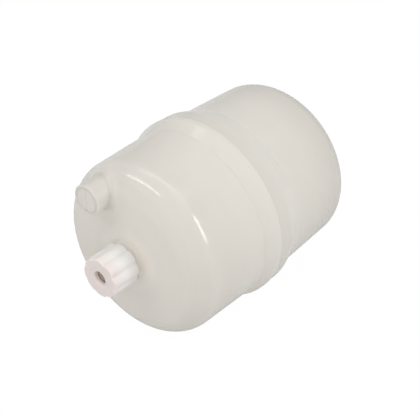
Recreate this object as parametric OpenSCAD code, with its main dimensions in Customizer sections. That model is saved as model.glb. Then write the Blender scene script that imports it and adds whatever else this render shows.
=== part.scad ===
// In-line capsule filter: a welded shell of two bowls around a pleated cartridge,
// with a tube fitting at each end and a screwed vent on the inlet end.
// Millimetres. X runs along the axis, inlet at -X, outlet at +X, Z up.
// The origin is on the axis, inside the belt that joins the two bowls.

/* [Shell] */
// Outside radius of the inlet bowl's wall where it enters the belt
shell_r = 29.1; // [27:0.1:33]
// Radius that the inlet bowl's wall loses from the belt to its shoulder
inlet_draft = 0.3; // [0:0.1:1]
// Radius that the outlet bowl's wall loses from the belt to its shoulder
outlet_draft = 1.5; // [0:0.1:2]
// Distance from the origin to the start of the inlet bowl's rounded shoulder
inlet_wall_l = 28.6; // [25:0.2:40]
// Distance from the origin to the start of the outlet bowl's rounded shoulder
outlet_wall_l = 29.1; // [25:0.2:40]
// Radius of the rounding between the inlet bowl's wall and its end
inlet_knuckle_r = 8.3; // [6:0.1:9]
// Radius of the rounding between the outlet bowl's wall and its end
outlet_knuckle_r = 7.3; // [6:0.1:9]
// Radius of the shallow dome that closes each bowl
crown_r = 250; // [120:5:400]
// Thickness of the bowls' walls
wall_t = 2; // [1.6:0.1:2.6]

/* [Belt] */
// Height of the belt's collar over the inlet bowl's wall
belt_h = 1.6; // [1.2:0.1:2.2]
// Where the collar starts in front of the origin
belt_front = 1.5; // [1:0.1:2]
// Where the collar's crest ends behind the origin
belt_back = 1.8; // [1.2:0.1:2.5]
// How far the inlet bowl's rim flares out in front of the collar
rim_h = 0.6; // [0.4:0.1:1]
// Length of that flare along the wall
rim_l = 4; // [2:0.1:6]
// Rounding of the collar's front edge
belt_edge = 0.6; // [0.3:0.1:0.8]

/* [Tube fittings] */
// Outside diameter of the tube that the fittings take
tube_d = 4; // [3:0.1:4.4]
// Radial play of the tube in its bores
tube_play = 0.15; // [0.1:0.05:0.2]
// Radius over the nut's ribs
nut_r = 6.65; // [6.5:0.05:7.4]
// Length of the nut
nut_l = 10; // [9.4:0.1:11]
// Thickness of the nut's end wall
nut_face_t = 1.6; // [1.4:0.1:2]
// Number of ribs around the nut
nut_ribs = 8; // [6:1:10]
// Radius of the threaded stub inside the nut
stub_r = 4.6; // [4.4:0.05:4.8]
// Length of thread held by the nut
thread_l = 6.2; // [5.6:0.1:6.2]
// Radius of the neck between the bowl's end and the nut
neck_r = 5.8; // [5.2:0.1:6.2]
// Length of that neck
neck_l = 1.8; // [1.6:0.1:4]

/* [Vent] */
// Distance from the inlet bowl's wall in to the vent boss's centre line
vent_inset = 7; // [6.7:0.1:10]
// Direction of the vent boss from +Y towards +Z, in degrees
vent_angle = 60; // [0:1:359]
// Radius of the vent boss
vent_r = 4.9; // [4.7:0.1:5.4]
// How far the vent boss's face stands past the inlet bowl's end
vent_l = 5; // [4:0.1:8]

/* [Cartridge] */
// Number of pleats in the filter pack
pleats = 36; // [24:1:38]
// Outside radius of the perforated core
core_r = 9; // [8.8:0.1:10]
// Thickness of the cartridge's end caps
cap_t = 2.4; // [2:0.1:3]
// Length of the socket that takes the cartridge's spigot
socket_l = 6.5; // [6:0.1:8]

/* [Hidden] */
$fn = 96;
weld_gap = 0.05;
eps = 0.01;
blend = 0.04;
lap_end = 1;
outlet_step = 0.2;
inlet_shoulder = shell_r - inlet_draft;
outlet_wall_r = shell_r - outlet_step;
outlet_shoulder = outlet_wall_r - outlet_draft;
collar_in_r = shell_r + weld_gap;
belt_r = shell_r + belt_h;
belt_slope = 1.2;
seam_w = 0.2;

function reach(s, k) = sqrt(pow(crown_r - k, 2) - pow(s - k, 2));
function apex(l, s, k) = l - reach(s, k) + crown_r - blend / 2;
inlet_apex = apex(inlet_wall_l, inlet_shoulder, inlet_knuckle_r);
outlet_apex = apex(outlet_wall_l, outlet_shoulder, outlet_knuckle_r);

tube_r = tube_d / 2 + tube_play;
thread_play = 0.35;
bore_r = 1.4;
neck_fillet = 1.4;
nut_lobe_r = 2.8;
ring_s = 0.65;
ring_r = tube_r + weld_gap + ring_s;
seat_r = ring_r + ring_s + weld_gap;
seat_l = 2 * ring_s + 0.1;
socket_depth = 4;
washer_r = stub_r - 0.1;
washer_in_r = tube_r + 0.3;
grip_t = 0.4;
stack_gap = 0.1;
spacer_t = nut_l - nut_face_t - thread_l - grip_t - 3 * stack_gap;
tooth_slots = 6;

vent_off = shell_r - vent_inset;
vent_y = vent_off * cos(vent_angle);
vent_z = vent_off * sin(vent_angle);
vent_x = inlet_apex + vent_l;
plug_head_r = 3.4;
plug_head_l = 1.5;
plug_head_in = 0.3;
plug_shank_r = 2.2;
plug_play = 0.35;
vent_ring_s = 0.45;
vent_seat_r = plug_head_r + plug_play;
vent_seat_l = plug_head_in + plug_head_l + 2 * vent_ring_s + 0.1;
vent_hole_l = vent_l + wall_t - 0.4;
plug_shank_l = vent_hole_l - vent_seat_l;
vent_bore_r = 0.8;

cage_r = shell_r - 6.5;
cage_t = 1;
cap_r = cage_r + 1.05;
cap_skirt = 3;
standoff = 4;
inlet_cap_x = -(inlet_apex - wall_t - standoff);
socket_r = 6.4;
socket_t = 1.6;
socket_end = outlet_apex - wall_t - 0.6;
socket_mouth = outlet_apex - wall_t - socket_l;
outlet_cap_x = socket_mouth - 0.4;
spigot_r = socket_r - 0.2;
spigot_in_r = 3.4;
spigot_ring_s = 0.8;
spigot_ring_r = socket_r - weld_gap - spigot_ring_s;
spigot_ring_x = outlet_cap_x + 3.2;
pack_start = inlet_cap_x + cap_t + weld_gap;
pack_end = outlet_cap_x - cap_t - weld_gap;
fold_in = core_r + 0.7;
fold_out = cage_r - cage_t - 0.7;
fold_w_out = 0.5;
fold_w_in = 0.42;
sheet_t = 0.2;
sheet_gap = 0.03;
core_t = 1.2;

// A solid of revolution about X: the profile's first coordinate is the radius, its second is x
module turned() {
  rotate([0, 90, 0])
    rotate_extrude()
      children();
}

// A round bar about X between two stations
module bar(r, x0, x1) {
  translate([x0, 0, 0])
    rotate([0, 90, 0])
      cylinder(r = r, h = x1 - x0);
}

// The half profile of a domed bowl, taken in by a wall thickness o: wall, rounded shoulder, shallow dome
module dish(wall_r, s, l, k, x0, o) {
  d = reach(s, k);
  f = (crown_r - o) / (crown_r - k);
  tip_r = (s - k) * f;
  tip_x = l - d + d * f;
  polygon([[0, x0], [wall_r - o, x0], [s - o - blend, l], [tip_r - blend, tip_x - blend], [0, tip_x - blend]]);
  translate([s - k, l])
    circle(r = k - o);
  intersection() {
    translate([0, l - d])
      circle(r = crown_r - o - blend / 2, $fn = 360);
    translate([0, tip_x - 0.5])
      square([tip_r + 3, 10]);
  }
}

// Neck and threaded stub of a tube fitting, outwards along +X from a bowl's end at a
module stub(a) {
  bar(neck_r, a - wall_t, a + neck_l - 0.3);
  bar(stub_r, a - wall_t, a + neck_l + thread_l);
  turned()
    difference() {
      translate([neck_r - 0.2, a - 0.4])
        square([neck_fillet + 0.2, neck_fillet + 0.4]);
      translate([neck_r + neck_fillet, a + neck_fillet])
        circle(r = neck_fillet);
    }
}

// Tube socket, ring seat and flow bore of a tube fitting
module stub_bores(a) {
  end = a + neck_l + thread_l;
  bar(seat_r, end - seat_l, end + 1);
  bar(tube_r, end - seat_l - socket_depth, end);
  bar(bore_r, a - wall_t - 2, end);
}

// Ribbed nut of a tube fitting, outwards along +X
module nut(a) {
  x0 = a + neck_l;
  difference() {
    intersection() {
      translate([x0, 0, 0])
        rotate([0, 90, 0])
          linear_extrude(height = nut_l)
            union() {
              circle(r = nut_r - 1.2);
              for (i = [0 : nut_ribs - 1])
                rotate((i + 0.5) * 360 / nut_ribs)
                  translate([nut_r - nut_lobe_r, 0])
                    circle(r = nut_lobe_r);
            }
      turned()
        polygon([[0, x0], [nut_r - 0.3, x0], [nut_r + 0.1, x0 + 0.4],
                 [nut_r + 0.1, x0 + nut_l - 0.8], [nut_r - 0.7, x0 + nut_l], [0, x0 + nut_l]]);
    }
    bar(stub_r + thread_play, x0 - 1, x0 + nut_l - nut_face_t);
    bar(tube_r, x0, x0 + nut_l + 1);
  }
}

// Toothed steel ring that holds the tube, against the nut's end wall
module grip_ring(a) {
  x1 = a + neck_l + nut_l - nut_face_t - stack_gap;
  difference() {
    bar(washer_r, x1 - grip_t, x1);
    bar(washer_in_r, x1 - 1, x1 + 1);
    for (i = [0 : tooth_slots - 1])
      rotate([i * 360 / tooth_slots, 0, 0])
        translate([x1 - 1, -0.2, 0])
          cube([2, 0.4, washer_in_r + 0.9]);
  }
}

// Plain ring between the stub's end and the toothed ring
module spacer(a) {
  x0 = a + neck_l + thread_l + stack_gap;
  difference() {
    bar(washer_r, x0, x0 + spacer_t);
    bar(washer_in_r, x0 - 1, x0 + spacer_t + 1);
  }
}

// Sealing ring of round section about X
module seal(x, r, s) {
  translate([x, 0, 0])
    turned()
      translate([r, 0])
        circle(r = s, $fn = 48);
}

module inlet_bowl() {
  color([0.88, 0.87, 0.84])
    difference() {
      union() {
        mirror([1, 0, 0])
          turned() {
            dish(shell_r, inlet_shoulder, inlet_wall_l, inlet_knuckle_r, -lap_end, 0);
            polygon([[shell_r - 0.5, belt_front + seam_w], [shell_r + rim_h, belt_front + seam_w],
                     [shell_r - 0.2, belt_front + rim_l], [shell_r - 0.5, belt_front + rim_l]]);
          }
        mirror([1, 0, 0])
          stub(inlet_apex);
        translate([0, vent_y, vent_z])
          bar(vent_r, -vent_x, -inlet_wall_l);
      }
      mirror([1, 0, 0])
        turned()
          dish(shell_r, inlet_shoulder, inlet_wall_l, inlet_knuckle_r, -lap_end - 1, wall_t);
      mirror([1, 0, 0])
        stub_bores(inlet_apex);
      translate([0, vent_y, vent_z]) {
        bar(vent_seat_r, -vent_x - 1, -vent_x + vent_seat_l);
        bar(plug_shank_r + plug_play, -vent_x, -vent_x + vent_hole_l);
        bar(vent_bore_r, -vent_x, -inlet_wall_l + 3);
      }
    }
}

module outlet_bowl() {
  color([0.88, 0.87, 0.84])
    difference() {
      union() {
        turned()
          dish(outlet_wall_r, outlet_shoulder, outlet_wall_l, outlet_knuckle_r, lap_end + weld_gap, 0);
        turned()
          polygon([[collar_in_r - wall_t, -belt_front], [belt_r - belt_edge, -belt_front],
                   [belt_r, belt_edge - belt_front], [belt_r, belt_back],
                   [outlet_wall_r - 0.1, belt_back + belt_slope], [collar_in_r - wall_t, belt_back + belt_slope]]);
        stub(outlet_apex);
      }
      bar(collar_in_r, -belt_front - 1, lap_end + weld_gap);
      turned()
        difference() {
          dish(outlet_wall_r, outlet_shoulder, outlet_wall_l, outlet_knuckle_r, 0, wall_t);
          translate([socket_r, socket_mouth])
            square([socket_t, socket_l + wall_t]);
          translate([0, socket_end])
            square([socket_r + socket_t, socket_l]);
        }
      stub_bores(outlet_apex);
    }
}

module inlet_nut() {
  color([0.94, 0.92, 0.9])
    mirror([1, 0, 0])
      nut(inlet_apex);
}

module inlet_grip_ring() {
  color([0.7, 0.7, 0.72])
    mirror([1, 0, 0])
      grip_ring(inlet_apex);
}

module inlet_spacer() {
  color([0.9, 0.9, 0.88])
    mirror([1, 0, 0])
      spacer(inlet_apex);
}

module inlet_o_ring() {
  color([0.1, 0.1, 0.1])
    seal(-(inlet_apex + neck_l + thread_l - ring_s - weld_gap), ring_r, ring_s);
}

module outlet_nut() {
  color([0.94, 0.92, 0.9])
    nut(outlet_apex);
}

module outlet_grip_ring() {
  color([0.7, 0.7, 0.72])
    grip_ring(outlet_apex);
}

module outlet_spacer() {
  color([0.9, 0.9, 0.88])
    spacer(outlet_apex);
}

module outlet_o_ring() {
  color([0.1, 0.1, 0.1])
    seal(outlet_apex + neck_l + thread_l - ring_s - weld_gap, ring_r, ring_s);
}

module vent_plug() {
  x0 = -vent_x + plug_head_in;
  color([0.9, 0.9, 0.88])
    translate([0, vent_y, vent_z])
      difference() {
        union() {
          bar(plug_head_r, x0, x0 + plug_head_l);
          bar(plug_shank_r, x0, x0 + plug_head_l + 2 * vent_ring_s + plug_shank_l - 0.5);
        }
        translate([x0 - 1, -0.5, -plug_head_r - 1])
          cube([2, 1, 2 * plug_head_r + 2]);
      }
}

module vent_o_ring() {
  color([0.1, 0.1, 0.1])
    translate([0, vent_y, vent_z])
      seal(-vent_x + plug_head_in + plug_head_l + weld_gap + vent_ring_s,
           plug_shank_r + weld_gap + vent_ring_s, vent_ring_s);
}

module inlet_end_cap() {
  color([0.9, 0.89, 0.86]) {
    difference() {
      bar(cap_r, inlet_cap_x, inlet_cap_x + cap_t + cap_skirt);
      bar(cage_r + weld_gap, inlet_cap_x + cap_t, inlet_cap_x + cap_t + cap_skirt + 1);
    }
    for (i = [0 : 3])
      rotate([i * 90 + 45, 0, 0])
        translate([inlet_cap_x - standoff + 1.4, 6, -0.8])
          cube([standoff - 1.4 + eps, cap_r - 9, 1.6]);
  }
}

module outlet_end_cap() {
  color([0.9, 0.89, 0.86])
    difference() {
      union() {
        bar(cap_r, outlet_cap_x - cap_t - cap_skirt, outlet_cap_x);
        bar(spigot_r, outlet_cap_x - 1, socket_end - 0.4);
      }
      bar(cage_r + weld_gap, outlet_cap_x - cap_t - cap_skirt - 1, outlet_cap_x - cap_t);
      bar(spigot_in_r, outlet_cap_x - cap_t - 1, socket_end);
      turned()
        translate([spigot_ring_r - spigot_ring_s - weld_gap, spigot_ring_x - spigot_ring_s - 0.1])
          square([3, 2 * spigot_ring_s + 0.2]);
    }
}

module spigot_o_ring() {
  color([0.1, 0.1, 0.1])
    seal(spigot_ring_x, spigot_ring_r, spigot_ring_s);
}

// Perforated tube about X with rows of windows cut through both sides
module lattice(r, t, rows, pairs, w) {
  step = (pack_end - pack_start) / rows;
  difference() {
    bar(r, pack_start, pack_end);
    bar(r - t, pack_start - 1, pack_end + 1);
    for (i = [0 : rows - 1])
      for (j = [0 : pairs - 1])
        rotate([(j + (i % 2) / 2) * 180 / pairs, 0, 0])
          translate([pack_start + (i + 0.5) * step - step * 0.3, -w / 2, -r - 1])
            cube([step * 0.6, w, 2 * r + 2]);
  }
}

module core() {
  color([0.9, 0.89, 0.86])
    lattice(core_r, core_t, 8, 4, 3.2);
}

module cage() {
  color([0.9, 0.89, 0.86])
    lattice(cage_r, cage_t, 7, 6, 7);
}

// One face of the pleated pack, moved outwards by s
function fold(s) = [
  for (i = [0 : pleats - 1], j = [0 : 3])
    let (a = (i + (j > 1 ? 0.5 : 0)) * 360 / pleats,
         r = (j > 1 ? fold_in : fold_out) + s,
         w = (j % 2 == 0 ? -1 : 1) * (j > 1 ? fold_w_in - s : fold_w_out + s))
      [r * cos(a) - w * sin(a), r * sin(a) + w * cos(a)]
];

module pleated(s0, s1) {
  translate([pack_start, 0, 0])
    rotate([0, 90, 0])
      linear_extrude(height = pack_end - pack_start)
        difference() {
          polygon(fold(s1));
          polygon(fold(s0));
        }
}

module upstream_net() {
  color([0.93, 0.93, 0.92])
    pleated(sheet_t / 2 + sheet_gap, sheet_t * 1.5);
}

module filter_sheet() {
  color([0.97, 0.97, 0.95])
    pleated(-sheet_t / 2, sheet_t / 2);
}

module downstream_net() {
  color([0.93, 0.93, 0.92])
    pleated(-sheet_t * 1.5, -sheet_t / 2 - sheet_gap);
}

inlet_bowl();
outlet_bowl();
inlet_nut();
inlet_grip_ring();
inlet_spacer();
inlet_o_ring();
outlet_nut();
outlet_grip_ring();
outlet_spacer();
outlet_o_ring();
vent_plug();
vent_o_ring();
inlet_end_cap();
outlet_end_cap();
spigot_o_ring();
core();
cage();
upstream_net();
filter_sheet();
downstream_net();
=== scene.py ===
"""Capsule filter: milky moulded shell, ribbed tube nuts and a vent plug over the frame's cartridge."""
import math
import bmesh
import bpy
from mathutils import Matrix, Vector


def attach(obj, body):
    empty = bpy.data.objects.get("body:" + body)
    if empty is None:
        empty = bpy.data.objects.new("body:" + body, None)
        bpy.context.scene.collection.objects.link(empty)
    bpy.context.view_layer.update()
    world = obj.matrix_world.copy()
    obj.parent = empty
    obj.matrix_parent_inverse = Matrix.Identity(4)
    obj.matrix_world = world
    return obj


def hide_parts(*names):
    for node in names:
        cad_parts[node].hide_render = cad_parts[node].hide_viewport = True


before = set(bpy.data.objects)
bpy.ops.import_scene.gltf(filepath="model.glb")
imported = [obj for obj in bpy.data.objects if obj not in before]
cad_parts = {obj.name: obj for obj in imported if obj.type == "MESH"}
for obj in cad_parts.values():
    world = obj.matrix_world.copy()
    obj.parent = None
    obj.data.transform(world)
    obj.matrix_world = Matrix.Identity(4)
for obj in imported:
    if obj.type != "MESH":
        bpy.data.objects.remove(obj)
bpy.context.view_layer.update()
scene = bpy.context.scene
MM = 0.001

# Sizes of the moulded pieces, in millimetres; RIB_TURN is in degrees and FOOT_ANGLES in radians
INLET_APEX = 37.751
OUTLET_APEX = 37.214
CROWN_R = 250.0
CROWN_CENTRE_X = -212.23
CROWN_EDGE_R = 21.204
KNUCKLE_R = 8.3
KNUCKLE_CENTRE_X = 28.6
KNUCKLE_CENTRE_R = 20.5
NECK_L = 1.8
NECK_R = 5.8
NECK_EASE = 0.3
NECK_FILLET = 1.4
STUB_L = 6.2
STUB_R = 4.22
STUB_TIP_R = 3.95
STUB_CHAMFER = 0.35
THREAD_R = 4.58
THREAD_PITCH = 1.5
THREAD_FROM = 0.7
THREAD_TO = 5.6
RIDGE_HALF_SHARE = 0.42
RIDGE_CREST_SHARE = 0.35
RIDGE_SUNK = 0.1
SEAL_SEAT_R = 3.55
SEAL_SEAT_L = 1.4
SOCKET_R = 2.15
SOCKET_END = 5.4
FLOW_BORE_R = 1.4
NUT_L = 10.0
NUT_R = 6.65
NUT_RIBS = 8
LOBE_R = 2.6
RIB_TURN = -5.0
FRONT_ROUND = 0.7
REAR_ROUND = 0.4
GROOVE_ROUND = 0.2
NUT_OUTSIDE = (0.0, 0.05, 0.18, 0.4, 1.0, 5.0, 8.5, 9.3, 9.42, 9.55, 9.68, 9.8, 9.9, 9.97, 10.0)
NUT_INSIDE = ((10.0, 2.75), (9.93, 2.5), (9.7, 2.3), (9.3, 2.2), (8.4, 2.2), (8.4, 4.95),
              (0.3, 4.95), (0.0, 5.2))
VENT_X = -42.751
VENT_Y = 11.05
VENT_Z = 19.139
VENT_R = 4.9
VENT_L = 9
VENT_SUNK = 4
VENT_RIM_ROUND = 0.5
VENT_SEAT_R = 3.75
VENT_SEAT_L = 2.8
VENT_HOLE_R = 2.55
VENT_HOLE_L = 5.9
FOOT_ROUND = 1.4
FOOT_ANGLES = (1.57, 1.3, 1.05, 0.8, 0.55, 0.3, 0.12)
PLUG_HEAD_R = 3.735
PLUG_HEAD_L = 1.7
PLUG_SHANK_R = 1.9
PLUG_THREAD_R = 2.18
PLUG_PITCH = 1.25
PLUG_END = 5.8
PLUG_INSET = 0.02
PLUG_THREAD_FROM = 3.2
PLUG_THREAD_TO = 5.2
SLOT_WIDE = 0.6
SLOT_DEEP = 0.15
SLOT_LONG = 10
FLOOR_Z = -30.72
TURN_STEPS = 192

# Outlines of the shell as (x, radius, rounding, segments): the belt, and the shoulder of each end
SEAM_X = -2.75
BELT_OUTLINE = [(-8.7, 29.03, 0.3, 4), (-4.4, 30.62, 0.3, 4), (SEAM_X, 30.66, 0.12, 4),
                (SEAM_X + 0.14, 30.5, 0.1, 3), (2.4, 30.3, 1.0, 4), (7.6, 28.51, 1.5, 5)]
OUTLET_OUTLINE = [(35.848, 27.052, 7.3, 28), (36.935, 13.963, 240, 12)]
INLET_OUTLINE = [(-36.22, 28.8, KNUCKLE_R, 28), (-37.454, 14.34, 240, 12)]

# Looks of the plastics: scatter depths in metres, roughness, tones as (millimetres, share of the colour);
# the tones are painted light and shade
WALL_DEPTH = 0.006
THIN_DEPTH = 0.0007
WALL_ROUGH = 0.1
THIN_ROUGH = 0.4
STUB_REACH = 4.7
VENT_REACH = VENT_R + 0.3
# Painted light and shade along the shell: darker over the inlet shoulder and the outlet end, the belt's
# flank and rear slope evened out, a pale band before the joint and painted shade fading behind it
WALL_LIGHT_AND_SHADE = ((-37.2, 0.92), (-36.6, 0.90), (-35.5, 0.865), (-32.5, 0.85), (-29.0, 0.89), (-18.0, 0.92),
              (-9.6, 0.955), (-8.2, 0.935), (-4.8, 0.92), (SEAM_X - 0.1, 0.97), (SEAM_X + 0.1, 0.91),
              (-1.0, 0.915), (2.2, 0.92), (2.8, 0.985), (7.2, 1.0), (8.4, 0.945), (13.0, 0.925),
              (18.0, 0.92), (24.0, 0.885), (30.0, 0.83), (38.0, 0.81))
VENT_SQUASH = 0.25
VENT_MIDDLE = 4.75
# Painted shade on the vent boss and painted light over the shadow round its foot, by distance from the boss
VENT_LIGHT_AND_SHADE = ((0.0, 0.93), (5.0, 0.93), (5.5, 1.06), (6.6, 1.06), (9.0, 1.0))
# Painted light over the shadow round each tube neck, by distance from the axis
NECK_PAINTED_LIGHT = ((4.7, 1.0), (5.8, 1.1), (7.5, 1.09), (12.0, 1.0))
# Painted shade on each nut's front face, darker and pinker towards it
NUT_FACE_SHADE = ((45.0, (1.0, 1.0, 1.0)), (49.3, (0.94, 0.92, 0.91)))


# Materials

def principled(name):
    """A new node material; returns it with its tree and its surface shader."""
    material = bpy.data.materials.new(name)
    material.use_nodes = True
    tree = material.node_tree
    return material, tree, tree.nodes["Principled BSDF"]


def add(tree, kind, **values):
    """A node with some of its properties or input values set."""
    node = tree.nodes.new(kind)
    for key, value in values.items():
        if key in node.inputs:
            node.inputs[key].default_value = value
        else:
            setattr(node, key, value)
    return node


def noise(tree, scale, detail=3.0, stretch=(1, 1, 1)):
    """Noise in the object's own coordinates, scaled per metre."""
    coords = add(tree, "ShaderNodeTexCoord")
    mapping = add(tree, "ShaderNodeMapping", Scale=stretch)
    tree.links.new(coords.outputs["Object"], mapping.inputs["Vector"])
    texture = add(tree, "ShaderNodeTexNoise", Scale=scale, Detail=detail)
    tree.links.new(mapping.outputs["Vector"], texture.inputs["Vector"])
    return texture.outputs["Fac"]


def spread(tree, value, low, high):
    """The middle of a noise value spread over low to high."""
    node = add(tree, "ShaderNodeMapRange")
    node.inputs["From Min"].default_value = 0.3
    node.inputs["From Max"].default_value = 0.7
    node.inputs["To Min"].default_value = low
    node.inputs["To Max"].default_value = high
    tree.links.new(value, node.inputs["Value"])
    return node.outputs["Result"]


def mixed(tree, value, first, second):
    """A colour between two, by a value from 0 to 1."""
    node = add(tree, "ShaderNodeMix", data_type="RGBA")
    colours = [s for s in node.inputs if s.type == "RGBA"]
    colours[0].default_value = (*first, 1)
    colours[1].default_value = (*second, 1)
    tree.links.new(value, node.inputs["Factor"])
    return [s for s in node.outputs if s.type == "RGBA"][0]


def bump(tree, value, distance, strength=1.0):
    """A bump from a noise value, as high as distance in metres."""
    node = add(tree, "ShaderNodeBump", Strength=strength, Distance=distance)
    tree.links.new(value, node.inputs["Height"])
    return node.outputs["Normal"]


def plastic(name, pale, deep, rough, cloud=60, grain=2500, height=4e-6, depth=0.0, radius=(1, 1, 1)):
    """A moulded plastic or rubber: cloudy colour, uneven gloss and a fine grain."""
    material, tree, shader = principled(name)
    cloudy = spread(tree, noise(tree, cloud, 4.0), 0, 1)
    tree.links.new(mixed(tree, cloudy, deep, pale), shader.inputs["Base Color"])
    uneven = spread(tree, noise(tree, cloud * 4, 3.0), rough * 0.85, rough * 1.15)
    tree.links.new(uneven, shader.inputs["Roughness"])
    tree.links.new(bump(tree, noise(tree, grain, 2.0), height), shader.inputs["Normal"])
    shader.inputs["IOR"].default_value = 1.49
    if depth:
        shader.inputs["Subsurface Weight"].default_value = 1.0
        shader.inputs["Subsurface Radius"].default_value = radius
        shader.inputs["Subsurface Scale"].default_value = depth
    return material


def metal(name, pale, deep, rough):
    """A rolled metal strip with fine brushed lines."""
    material, tree, shader = principled(name)
    lines = spread(tree, noise(tree, 900, 3.0, (1, 8, 0.6)), 0, 1)
    tree.links.new(mixed(tree, lines, deep, pale), shader.inputs["Base Color"])
    tree.links.new(spread(tree, noise(tree, 500), rough * 0.8, rough * 1.2), shader.inputs["Roughness"])
    tree.links.new(bump(tree, noise(tree, 3000, 2.0, (1, 8, 0.6)), 3e-6), shader.inputs["Normal"])
    shader.inputs["Metallic"].default_value = 1.0
    return material


def fabric(name, pale, deep, pitch):
    """A non-woven or net layer: crossed threads in colour and relief."""
    material, tree, shader = principled(name)
    coords = add(tree, "ShaderNodeTexCoord")
    waves = []
    for direction in ("X", "Z"):
        wave = add(tree, "ShaderNodeTexWave", Scale=1 / pitch, Distortion=0.6, Detail=1.0)
        wave.bands_direction = direction
        tree.links.new(coords.outputs["Object"], wave.inputs["Vector"])
        waves.append(wave.outputs["Fac"])
    crossing = add(tree, "ShaderNodeMath", operation="MAXIMUM")
    tree.links.new(waves[0], crossing.inputs[0])
    tree.links.new(waves[1], crossing.inputs[1])
    tree.links.new(mixed(tree, crossing.outputs[0], deep, pale), shader.inputs["Base Color"])
    tree.links.new(bump(tree, crossing.outputs[0], 4e-5, 0.6), shader.inputs["Normal"])
    shader.inputs["Roughness"].default_value = 0.85
    return material


def toned(tree, value, tones):
    """A colour by a length in metres, from (millimetres, colour) pairs."""
    start, end = tones[0][0], tones[-1][0]
    along = add(tree, "ShaderNodeMapRange")
    along.inputs["From Min"].default_value = start * MM
    along.inputs["From Max"].default_value = end * MM
    tree.links.new(value, along.inputs["Value"])
    ramp = add(tree, "ShaderNodeValToRGB")
    while len(ramp.color_ramp.elements) < len(tones):
        ramp.color_ramp.elements.new(1.0)
    for element, (at, tone) in zip(ramp.color_ramp.elements, tones):
        element.position = (at - start) / (end - start)
        element.color = (*tone, 1) if isinstance(tone, tuple) else (tone, tone, tone, 1)
    tree.links.new(along.outputs["Result"], ramp.inputs["Fac"])
    return ramp.outputs["Color"]


def multiplied(tree, shader, colour):
    """The shader's colour times another."""
    node = add(tree, "ShaderNodeMix", data_type="RGBA", blend_type="MULTIPLY")
    node.inputs["Factor"].default_value = 1.0
    colours = [s for s in node.inputs if s.type == "RGBA"]
    tree.links.new(shader.inputs["Base Color"].links[0].from_socket, colours[0])
    tree.links.new(colour, colours[1])
    tree.links.new([s for s in node.outputs if s.type == "RGBA"][0], shader.inputs["Base Color"])


def away(tree, coords, squash, centre):
    """Distance from a centre in millimetres, with lengths along X squashed."""
    flat = add(tree, "ShaderNodeVectorMath", operation="MULTIPLY")
    flat.inputs[1].default_value = (squash, 1, 1)
    tree.links.new(coords.outputs["Object"], flat.inputs[0])
    distance = add(tree, "ShaderNodeVectorMath", operation="DISTANCE")
    distance.inputs[1].default_value = (squash * centre[0] * MM, centre[1] * MM, centre[2] * MM)
    tree.links.new(flat.outputs["Vector"], distance.inputs[0])
    return distance.outputs["Value"]


def milky_wall(name):
    """Milky moulded wall with painted light and shade along its length, on the vent boss and round the tube
    necks; the belt's joint shows through as a line, with painted shade fading behind it.
    """
    material = plastic(name, (0.924, 0.887, 0.82), (0.897, 0.859, 0.792), WALL_ROUGH, cloud=45,
                       depth=WALL_DEPTH, radius=(0.9, 0.95, 1.0))
    tree = material.node_tree
    shader = tree.nodes["Principled BSDF"]
    coords = add(tree, "ShaderNodeTexCoord")
    split = add(tree, "ShaderNodeSeparateXYZ")
    tree.links.new(coords.outputs["Object"], split.inputs["Vector"])
    from_vent = away(tree, coords, VENT_SQUASH, (VENT_X + VENT_MIDDLE, VENT_Y, VENT_Z))
    from_axis = away(tree, coords, 0, (0, 0, 0))
    # Painted light and shade along the shell's length
    multiplied(tree, shader, toned(tree, split.outputs["X"], WALL_LIGHT_AND_SHADE))
    # Painted shade on the vent boss, painted light round its foot
    multiplied(tree, shader, toned(tree, from_vent, VENT_LIGHT_AND_SHADE))
    # Painted light round the tube necks
    multiplied(tree, shader, toned(tree, from_axis, NECK_PAINTED_LIGHT))
    beyond = []
    for distance, reach in ((from_vent, VENT_REACH), (from_axis, STUB_REACH)):
        past = add(tree, "ShaderNodeMath", operation="SUBTRACT")
        past.inputs[1].default_value = reach * MM
        tree.links.new(distance, past.inputs[0])
        beyond.append(past.outputs[0])
    nearest = add(tree, "ShaderNodeMath", operation="MINIMUM")
    tree.links.new(beyond[0], nearest.inputs[0])
    tree.links.new(beyond[1], nearest.inputs[1])
    for socket, thin, thick in (("Subsurface Scale", THIN_DEPTH, WALL_DEPTH),
                                ("Roughness", THIN_ROUGH, WALL_ROUGH)):
        change = add(tree, "ShaderNodeMapRange")
        change.inputs["From Max"].default_value = 0.5 * MM
        change.inputs["To Min"].default_value = thin
        change.inputs["To Max"].default_value = thick
        tree.links.new(nearest.outputs[0], change.inputs["Value"])
        if socket == "Roughness":
            tree.links.new(shader.inputs[socket].links[0].from_socket, change.inputs["To Max"])
        tree.links.new(change.outputs["Result"], shader.inputs[socket])
    return material


def nut_plastic(name):
    """White moulded plastic, with painted shade on the nut's face: darker and pinker there."""
    material = plastic(name, (0.99, 0.905, 0.885), (0.97, 0.88, 0.86), 0.42, cloud=180, depth=0.0005)
    tree = material.node_tree
    shader = tree.nodes["Principled BSDF"]
    coords = add(tree, "ShaderNodeTexCoord")
    split = add(tree, "ShaderNodeSeparateXYZ")
    tree.links.new(coords.outputs["Object"], split.inputs["Vector"])
    out = add(tree, "ShaderNodeMath", operation="ABSOLUTE")
    tree.links.new(split.outputs["X"], out.inputs[0])
    # Painted shade on the nut's face
    multiplied(tree, shader, toned(tree, out.outputs[0], NUT_FACE_SHADE))
    return material


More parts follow.
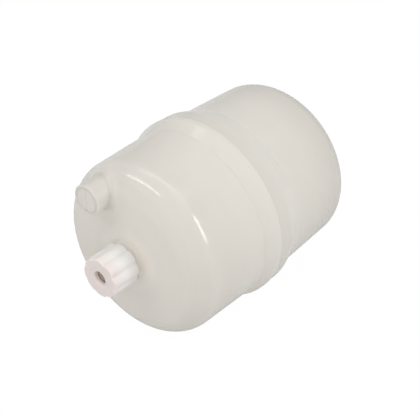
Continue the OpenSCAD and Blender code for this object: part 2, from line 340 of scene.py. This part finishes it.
milky_shell = milky_wall("milky_shell")
white_nut = nut_plastic("white_nut")
clear_plug = plastic("clear_plug", (0.88, 0.845, 0.785), (0.85, 0.815, 0.755), 0.4, cloud=200, depth=0.0003)
natural_ring = plastic("natural_ring", (0.97, 0.90, 0.80), (0.94, 0.86, 0.75), 0.5, cloud=250)
brown_rubber = plastic("brown_rubber", (0.26, 0.135, 0.07), (0.21, 0.105, 0.055), 0.6, cloud=400,
                       grain=6000, height=8e-6)
grip_bronze = metal("grip_bronze", (0.97, 0.88, 0.75), (0.92, 0.81, 0.67), 0.6)
cartridge_plastic = plastic("cartridge_plastic", (0.83, 0.82, 0.78), (0.78, 0.77, 0.73), 0.45, cloud=90)
support_net = fabric("support_net", (0.86, 0.86, 0.84), (0.62, 0.62, 0.60), 0.0008)
filter_membrane = fabric("filter_membrane", (0.90, 0.90, 0.88), (0.84, 0.84, 0.82), 0.0003)


# Modelling

def outline(corners, closed=True):
    """A wire profile beside the X axis from (x, radius, rounding, segments); roundings become arcs."""
    bm = bmesh.new()
    points = [Vector((c[0] * MM, 0, c[1] * MM)) for c in corners]
    verts = [bm.verts.new(p) for p in points]
    for a, b in zip(verts, verts[1:]):
        bm.edges.new((a, b))
    if closed:
        bm.edges.new((verts[-1], verts[0]))
    last = len(points) - 1
    for i, corner in enumerate(corners):
        if len(corner) < 3 or (not closed and i in (0, last)):
            continue
        before = points[i] - points[i - 1]
        after = points[(i + 1) % len(points)] - points[i]
        reach = corner[2] * MM * math.tan(before.angle(after) / 2)
        segments = corner[3] if len(corner) > 3 else 5
        bmesh.ops.bevel(bm, geom=[verts[i]], offset=reach, offset_type="OFFSET", segments=segments,
                        profile=0.5, affect="VERTICES", material=-1)
    return bm


def turn(bm, steps=TURN_STEPS):
    """Spins the profile once round the X axis."""
    bmesh.ops.spin(bm, geom=bm.verts[:] + bm.edges[:], cent=(0, 0, 0), axis=(1, 0, 0), dvec=(0, 0, 0),
                   angle=2 * math.pi, steps=steps, use_merge=True)
    bmesh.ops.remove_doubles(bm, verts=bm.verts, dist=1e-7)
    bmesh.ops.recalc_face_normals(bm, faces=bm.faces)
    return bm


def thread(x0, x1, root, crest, pitch, steps=48):
    """A helical ridge round the X axis from x0 to x1, its foot a little inside the root."""
    bm = bmesh.new()
    foot = pitch * RIDGE_HALF_SHARE
    top = foot * RIDGE_CREST_SHARE
    verts = [bm.verts.new((x * MM, 0, r * MM)) for x, r in
             ((x0 - foot, root - RIDGE_SUNK), (x0 - top, crest),
              (x0 + top, crest), (x0 + foot, root - RIDGE_SUNK))]
    for a, b in zip(verts, verts[1:] + verts[:1]):
        bm.edges.new((a, b))
    turns = abs(x1 - x0) / pitch
    count = max(8, int(round(turns * steps)))
    bmesh.ops.spin(bm, geom=bm.verts[:] + bm.edges[:], cent=(0, 0, 0), axis=(1, 0, 0),
                   dvec=((x1 - x0) * MM / count, 0, 0), angle=2 * math.pi * turns, steps=count)
    bmesh.ops.holes_fill(bm, edges=[e for e in bm.edges if e.is_boundary], sides=4)
    bmesh.ops.recalc_face_normals(bm, faces=bm.faces)
    return bm


def joined(*parts):
    """Several meshes as one."""
    whole = bmesh.new()
    for part in parts:
        mesh = bpy.data.meshes.new("part")
        part.to_mesh(mesh)
        part.free()
        whole.from_mesh(mesh)
        bpy.data.meshes.remove(mesh)
    return whole


def piece(name, bm, material, body, nodes, sharp=40):
    """A finished piece that stands for CAD nodes and rides their body."""
    mesh = bpy.data.meshes.new(name)
    bm.to_mesh(mesh)
    bm.free()
    mesh.polygons.foreach_set("use_smooth", [True] * len(mesh.polygons))
    mesh.set_sharp_from_angle(angle=math.radians(sharp))
    mesh.materials.append(material)
    made = bpy.data.objects.new(name, mesh)
    scene.collection.objects.link(made)
    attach(made, body)
    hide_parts(*nodes)
    return made


def stub(apex, sign):
    """Profile of a tube fitting, from the crown inwards: neck, stub, seal seat, socket and flow bore."""
    shoulder = apex + NECK_L - NECK_EASE
    end = apex + NECK_L + STUB_L
    stations = [(apex - 0.03, NECK_R, NECK_FILLET, 8), (shoulder, NECK_R, 0.25), (shoulder, STUB_R),
                (end - STUB_CHAMFER, STUB_R), (end, STUB_TIP_R), (end, SEAL_SEAT_R, 0.1),
                (end - SEAL_SEAT_L, SEAL_SEAT_R), (end - SEAL_SEAT_L, SOCKET_R),
                (end - SOCKET_END, SOCKET_R), (end - SOCKET_END, FLOW_BORE_R)]
    return [(sign * s[0], *s[1:]) for s in stations]


# Welded shell: both bowls, the belt, the tube stubs and the vent boss in one skin

def end_height(y, z):
    """Distance of the inlet bowl's outside from the belt, in millimetres, at a place on its end."""
    r = math.hypot(y, z)
    if r < CROWN_EDGE_R:
        return CROWN_CENTRE_X + math.sqrt(CROWN_R ** 2 - r * r)
    return KNUCKLE_CENTRE_X + math.sqrt(max(KNUCKLE_R ** 2 - (r - KNUCKLE_CENTRE_R) ** 2, 0))


def shell_body():
    """The shell's turned skin, from the belt over the outlet end and back over the inlet end."""
    outlet_end = OUTLET_OUTLINE + stub(OUTLET_APEX, 1)
    inlet_end = INLET_OUTLINE + stub(INLET_APEX, -1)
    return turn(outline(BELT_OUTLINE + outlet_end + inlet_end[::-1]))


def vent_boss():
    """Turned boss with its screw hole; the rings of its foot follow the bowl's end."""
    base = VENT_X + VENT_L
    foot = [(FOOT_ROUND * (1 - math.sin(t)), VENT_R + FOOT_ROUND * (1 - math.cos(t))) for t in FOOT_ANGLES]
    sunk = base + VENT_SUNK
    corners = [(sunk, 0.05), (sunk, VENT_R + FOOT_ROUND), (base + 0.3, VENT_R + FOOT_ROUND)]
    corners += [(base - h, r) for h, r in foot]
    corners += [(VENT_X, VENT_R, VENT_RIM_ROUND, 6), (VENT_X, VENT_SEAT_R, 0.04, 3),
                (VENT_X + VENT_SEAT_L, VENT_SEAT_R), (VENT_X + VENT_SEAT_L, VENT_HOLE_R),
                (VENT_X + VENT_HOLE_L, VENT_HOLE_R), (VENT_X + VENT_HOLE_L, 0.05)]
    bm = turn(outline(corners), 96)
    bmesh.ops.translate(bm, verts=bm.verts, vec=(0, VENT_Y * MM, VENT_Z * MM))
    for v in bm.verts:
        h = base - v.co.x / MM
        reach = math.hypot(v.co.y / MM - VENT_Y, v.co.z / MM - VENT_Z)
        if -1 < h < FOOT_ROUND and reach > VENT_R - 0.1:
            v.co.x = -(end_height(v.co.y / MM, v.co.z / MM) + h) * MM
    return bm


def combined(first, second, operation):
    """One closed mesh from two: their union, or the first without the second."""
    parts = []
    for bm in (first, second):
        mesh = bpy.data.meshes.new("part")
        bm.to_mesh(mesh)
        bm.free()
        part = bpy.data.objects.new("part", mesh)
        scene.collection.objects.link(part)
        parts.append(part)
    cut = parts[0].modifiers.new("cut", "BOOLEAN")
    cut.operation = operation
    cut.solver = "EXACT"
    cut.object = parts[1]
    whole = bmesh.new()
    whole.from_object(parts[0], bpy.context.evaluated_depsgraph_get())
    for part in parts:
        bpy.data.meshes.remove(part.data)
    return whole


shell = joined(
    combined(shell_body(), vent_boss(), "UNION"),
    thread(-INLET_APEX - NECK_L - THREAD_FROM, -INLET_APEX - NECK_L - THREAD_TO,
           STUB_R, THREAD_R, THREAD_PITCH),
    thread(OUTLET_APEX + NECK_L + THREAD_FROM, OUTLET_APEX + NECK_L + THREAD_TO,
           STUB_R, THREAD_R, THREAD_PITCH))
piece("welded_shell", shell, milky_shell, "shell", ("inlet_bowl", "outlet_bowl"))


# Tube nuts

def ring_limit(at):
    """Largest radius of the nut at a distance from its rear face: rounded in front, eased behind."""
    front = NUT_L - at
    if front < FRONT_ROUND:
        return NUT_R - FRONT_ROUND + math.sqrt(max(FRONT_ROUND ** 2 - (FRONT_ROUND - front) ** 2, 0))
    if at < REAR_ROUND:
        return NUT_R - REAR_ROUND + math.sqrt(max(REAR_ROUND ** 2 - (REAR_ROUND - at) ** 2, 0))
    return NUT_R + 0.02


def nut(apex, sign):
    """Ribbed nut: a lobed section drawn out in rings, over its rounded front and back inside."""
    bm = bmesh.new()
    lobe_at = NUT_R - LOBE_R
    pitch_half = math.pi / NUT_RIBS
    meet = lobe_at * math.cos(pitch_half) + math.sqrt(LOBE_R ** 2 - (lobe_at * math.sin(pitch_half)) ** 2)
    half = math.asin(meet * math.sin(pitch_half) / LOBE_R)
    start = bm.verts.new((0, (lobe_at + LOBE_R * math.cos(half)) * MM, -LOBE_R * math.sin(half) * MM))
    bmesh.ops.spin(bm, geom=[start], cent=(0, lobe_at * MM, 0), axis=(1, 0, 0), dvec=(0, 0, 0),
                   angle=2 * half, steps=10)
    rib_turn = Matrix.Rotation(math.radians(RIB_TURN), 3, "X")
    bmesh.ops.rotate(bm, verts=bm.verts, cent=(0, 0, 0), matrix=rib_turn)
    bmesh.ops.spin(bm, geom=bm.verts[:] + bm.edges[:], cent=(0, 0, 0), axis=(1, 0, 0), dvec=(0, 0, 0),
                   angle=2 * math.pi * (NUT_RIBS - 1) / NUT_RIBS, steps=NUT_RIBS - 1, use_duplicate=True)
    bmesh.ops.remove_doubles(bm, verts=bm.verts, dist=2e-6)
    grooves = [v for v in bm.verts if math.hypot(v.co.y, v.co.z) < (meet + 0.02) * MM]
    for v in grooves:
        bmesh.ops.bevel(bm, geom=[v], offset=GROOVE_ROUND * MM, offset_type="OFFSET", segments=3,
                        profile=0.5, affect="VERTICES", material=-1)
    ring = bm.edges[:]
    x0 = apex + NECK_L
    bmesh.ops.translate(bm, verts=bm.verts, vec=(x0 * MM, 0, 0))
    first = ring
    rings = [(NUT_R - REAR_ROUND, bm.verts[:])]
    at = 0.0
    for x, limit in [(x, ring_limit(x)) for x in NUT_OUTSIDE[1:]] + list(NUT_INSIDE):
        drawn = bmesh.ops.extrude_edge_only(bm, edges=ring)["geom"]
        ring = [g for g in drawn if isinstance(g, bmesh.types.BMEdge)]
        verts = [g for g in drawn if isinstance(g, bmesh.types.BMVert)]
        bmesh.ops.translate(bm, verts=verts, vec=((x - at) * MM, 0, 0))
        rings.append((limit, verts))
        at = x
    for limit, verts in rings:
        for v in verts:
            r = math.hypot(v.co.y, v.co.z)
            if r > limit * MM:
                v.co.y *= limit * MM / r
                v.co.z *= limit * MM / r
    bmesh.ops.bridge_loops(bm, edges=first + ring)
    if sign < 0:
        bmesh.ops.scale(bm, verts=bm.verts, vec=(-1, 1, 1))
    bmesh.ops.recalc_face_normals(bm, faces=bm.faces)
    return bm


piece("inlet_nut_ribbed", nut(INLET_APEX, -1), white_nut, "inlet_nut", ("inlet_nut",), 50)
piece("outlet_nut_ribbed", nut(OUTLET_APEX, 1), white_nut, "outlet_nut", ("outlet_nut",), 50)


# Vent plug

def vent_plug():
    """Round head with a shallow slot across it, on a threaded shank."""
    face = VENT_X + PLUG_INSET
    under = face + PLUG_HEAD_L
    tip = VENT_X + PLUG_END
    head = turn(outline([(face, 0.01), (face, PLUG_HEAD_R, 0.05, 4), (under, PLUG_HEAD_R, 0.15, 3),
                         (under, PLUG_SHANK_R), (tip, PLUG_SHANK_R, 0.2, 3), (tip, 0.01)]), 72)
    slot = bmesh.new()
    bmesh.ops.create_cube(slot, size=1.0)
    bmesh.ops.scale(slot, verts=slot.verts, vec=(2 * SLOT_DEEP * MM, SLOT_WIDE * MM, SLOT_LONG * MM))
    bmesh.ops.translate(slot, verts=slot.verts, vec=(face * MM, 0, 0))
    ridge = thread(VENT_X + PLUG_THREAD_FROM, VENT_X + PLUG_THREAD_TO,
                   PLUG_SHANK_R, PLUG_THREAD_R, PLUG_PITCH)
    bm = joined(combined(head, slot, "DIFFERENCE"), ridge)
    bmesh.ops.translate(bm, verts=bm.verts, vec=(0, VENT_Y * MM, VENT_Z * MM))
    return bm


piece("vent_plug_slotted", vent_plug(), clear_plug, "vent_plug", ("vent_plug",))


# Finishes of the pieces that stay as they are in the frame
FINISHES = {
    "inlet_grip_ring": grip_bronze, "outlet_grip_ring": grip_bronze,
    "inlet_spacer": natural_ring, "outlet_spacer": natural_ring,
    "inlet_o_ring": brown_rubber, "outlet_o_ring": brown_rubber, "vent_o_ring": brown_rubber,
    "spigot_o_ring": brown_rubber,
    "inlet_end_cap": cartridge_plastic, "outlet_end_cap": cartridge_plastic,
    "core": cartridge_plastic, "cage": cartridge_plastic,
    "upstream_net": support_net, "downstream_net": support_net, "filter_sheet": filter_membrane}
for name, finish in FINISHES.items():
    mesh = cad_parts[name].data
    mesh.materials.clear()
    mesh.materials.append(finish)


# Floor, light and camera

TABLE_GREY = 0.65
TABLE_GLOW = 1.03
TABLE_SHARE = 0.95
MIRRORED = 0.35
LAMP_AWAY = 0.9
ROOM_INLET = 0.79
ROOM_OUTLET = 0.18
MIRRORED_ROOM = 0.55
VIEW_AZIMUTH = -48.979
VIEW_ELEVATION = 37.111
VIEW_ROLL = 0.489
VIEW_AWAY = 406.202
VIEW_RIGHT = 0.402
VIEW_UP = 1.513
FOCAL_PIXELS = 1289.704
PHOTO_WIDE = 420
SENSOR_WIDE = 36.0


def white_floor():
    """A white table that shows the object's shadow faintly."""
    bm = bmesh.new()
    bmesh.ops.create_grid(bm, x_segments=1, y_segments=1, size=3.0)
    bmesh.ops.translate(bm, verts=bm.verts, vec=(0, 0, FLOOR_Z * MM))
    mesh = bpy.data.meshes.new("table")
    bm.to_mesh(mesh)
    bm.free()
    material = bpy.data.materials.new("white_table")
    material.use_nodes = True
    tree = material.node_tree
    tree.nodes.clear()
    output = add(tree, "ShaderNodeOutputMaterial")
    diffuse = add(tree, "ShaderNodeBsdfDiffuse")
    diffuse.inputs["Color"].default_value = (TABLE_GREY, TABLE_GREY, TABLE_GREY, 1)
    glow = add(tree, "ShaderNodeEmission", Strength=TABLE_GLOW)
    path = add(tree, "ShaderNodeLightPath")
    mirrored = add(tree, "ShaderNodeMath", operation="MULTIPLY")
    mirrored.inputs[1].default_value = MIRRORED
    tree.links.new(path.outputs["Is Glossy Ray"], mirrored.inputs[0])
    seen = add(tree, "ShaderNodeMath", operation="MAXIMUM")
    tree.links.new(path.outputs["Is Camera Ray"], seen.inputs[0])
    tree.links.new(mirrored.outputs[0], seen.inputs[1])
    seen_too = add(tree, "ShaderNodeMath", operation="MAXIMUM")
    tree.links.new(seen.outputs[0], seen_too.inputs[0])
    tree.links.new(path.outputs["Is Transmission Ray"], seen_too.inputs[1])
    share = add(tree, "ShaderNodeMath", operation="MULTIPLY")
    share.inputs[1].default_value = TABLE_SHARE
    tree.links.new(seen_too.outputs[0], share.inputs[0])
    mix = add(tree, "ShaderNodeMixShader")
    tree.links.new(share.outputs[0], mix.inputs["Fac"])
    tree.links.new(diffuse.outputs[0], mix.inputs[1])
    tree.links.new(glow.outputs[0], mix.inputs[2])
    tree.links.new(mix.outputs[0], output.inputs["Surface"])
    mesh.materials.append(material)
    table = bpy.data.objects.new("table", mesh)
    scene.collection.objects.link(table)


def room_light():
    """White where it is seen; where it lights the object, softer and dimmer towards the outlet."""
    world = bpy.data.worlds.new("room")
    scene.world = world
    world.use_nodes = True
    tree = world.node_tree
    background = tree.nodes["Background"]
    path = add(tree, "ShaderNodeLightPath")
    seen = add(tree, "ShaderNodeMath", operation="MAXIMUM")
    tree.links.new(path.outputs["Is Camera Ray"], seen.inputs[0])
    tree.links.new(path.outputs["Is Transmission Ray"], seen.inputs[1])
    coords = add(tree, "ShaderNodeTexCoord")
    split = add(tree, "ShaderNodeSeparateXYZ")
    tree.links.new(coords.outputs["Generated"], split.inputs["Vector"])
    dimmer = add(tree, "ShaderNodeMapRange")
    dimmer.inputs["From Min"].default_value = -1.0
    dimmer.inputs["To Min"].default_value = ROOM_INLET
    dimmer.inputs["To Max"].default_value = ROOM_OUTLET
    tree.links.new(split.outputs["X"], dimmer.inputs["Value"])
    strength = add(tree, "ShaderNodeMapRange")
    strength.inputs["To Max"].default_value = 1.0
    tree.links.new(dimmer.outputs["Result"], strength.inputs["To Min"])
    tree.links.new(seen.outputs[0], strength.inputs["Value"])
    evened = add(tree, "ShaderNodeMix")
    tree.links.new(path.outputs["Is Glossy Ray"], evened.inputs["Factor"])
    evened.inputs["B"].default_value = MIRRORED_ROOM
    tree.links.new(strength.outputs["Result"], evened.inputs["A"])
    tree.links.new(evened.outputs["Result"], background.inputs["Strength"])
    background.inputs["Color"].default_value = (1, 1, 1, 1)


def panel(name, start, end, wide, power, mirrored=True):
    """A long lamp that faces the object, reaching from one direction to another."""
    start, end = Vector(start) * LAMP_AWAY, Vector(end) * LAMP_AWAY
    lamp = bpy.data.lights.new(name, "AREA")
    lamp.shape = "RECTANGLE"
    lamp.size, lamp.size_y = (end - start).length, wide
    lamp.energy = power
    lit = bpy.data.objects.new(name, lamp)
    out = ((start + end) / 2).normalized()
    across = out.cross(end - start).normalized()
    along = across.cross(out)
    turned = Matrix((along, across, out)).transposed()
    lit.matrix_world = Matrix.Translation((start + end) / 2) @ turned.to_4x4()
    lit.visible_glossy = mirrored
    scene.collection.objects.link(lit)


white_floor()
room_light()
panel("key_tube", (-0.334, 0.701, 0.629), (-0.465, 0.007, 0.885), 0.12, 1.1)
panel("top_window", (0.158, 0.607, 0.778), (0.422, -0.359, 0.832), 0.20, 0.75)
panel("side_tube", (0.298, -0.649, 0.70), (0.232, -0.938, 0.259), 0.16, 1.5)
panel("front_panel", (-0.87, -0.30, 0.37), (-0.31, -0.88, 0.38), 0.80, 1.3, mirrored=False)


def camera():
    """The photograph's standpoint."""
    azimuth = math.radians(VIEW_AZIMUTH)
    elevation = math.radians(VIEW_ELEVATION)
    roll = math.radians(VIEW_ROLL)
    back = Vector((math.sin(azimuth) * math.cos(elevation), -math.cos(azimuth) * math.cos(elevation),
                   math.sin(elevation)))
    level = Vector((math.cos(azimuth), math.sin(azimuth), 0))
    high = back.cross(level)
    right = level * math.cos(roll) + high * math.sin(roll)
    up = high * math.cos(roll) - level * math.sin(roll)
    place = (back * VIEW_AWAY - right * VIEW_RIGHT - up * VIEW_UP) * MM
    lens = bpy.data.cameras.new("photo_camera")
    lens.sensor_fit = "HORIZONTAL"
    lens.sensor_width = SENSOR_WIDE
    lens.lens = FOCAL_PIXELS * SENSOR_WIDE / PHOTO_WIDE
    lens.clip_start = 0.01
    made = bpy.data.objects.new("photo_camera", lens)
    made.matrix_world = Matrix((
        (right.x, up.x, back.x, place.x),
        (right.y, up.y, back.y, place.y),
        (right.z, up.z, back.z, place.z),
        (0, 0, 0, 1)))
    scene.collection.objects.link(made)
    scene.camera = made


camera()
scene.view_settings.view_transform = "Standard"
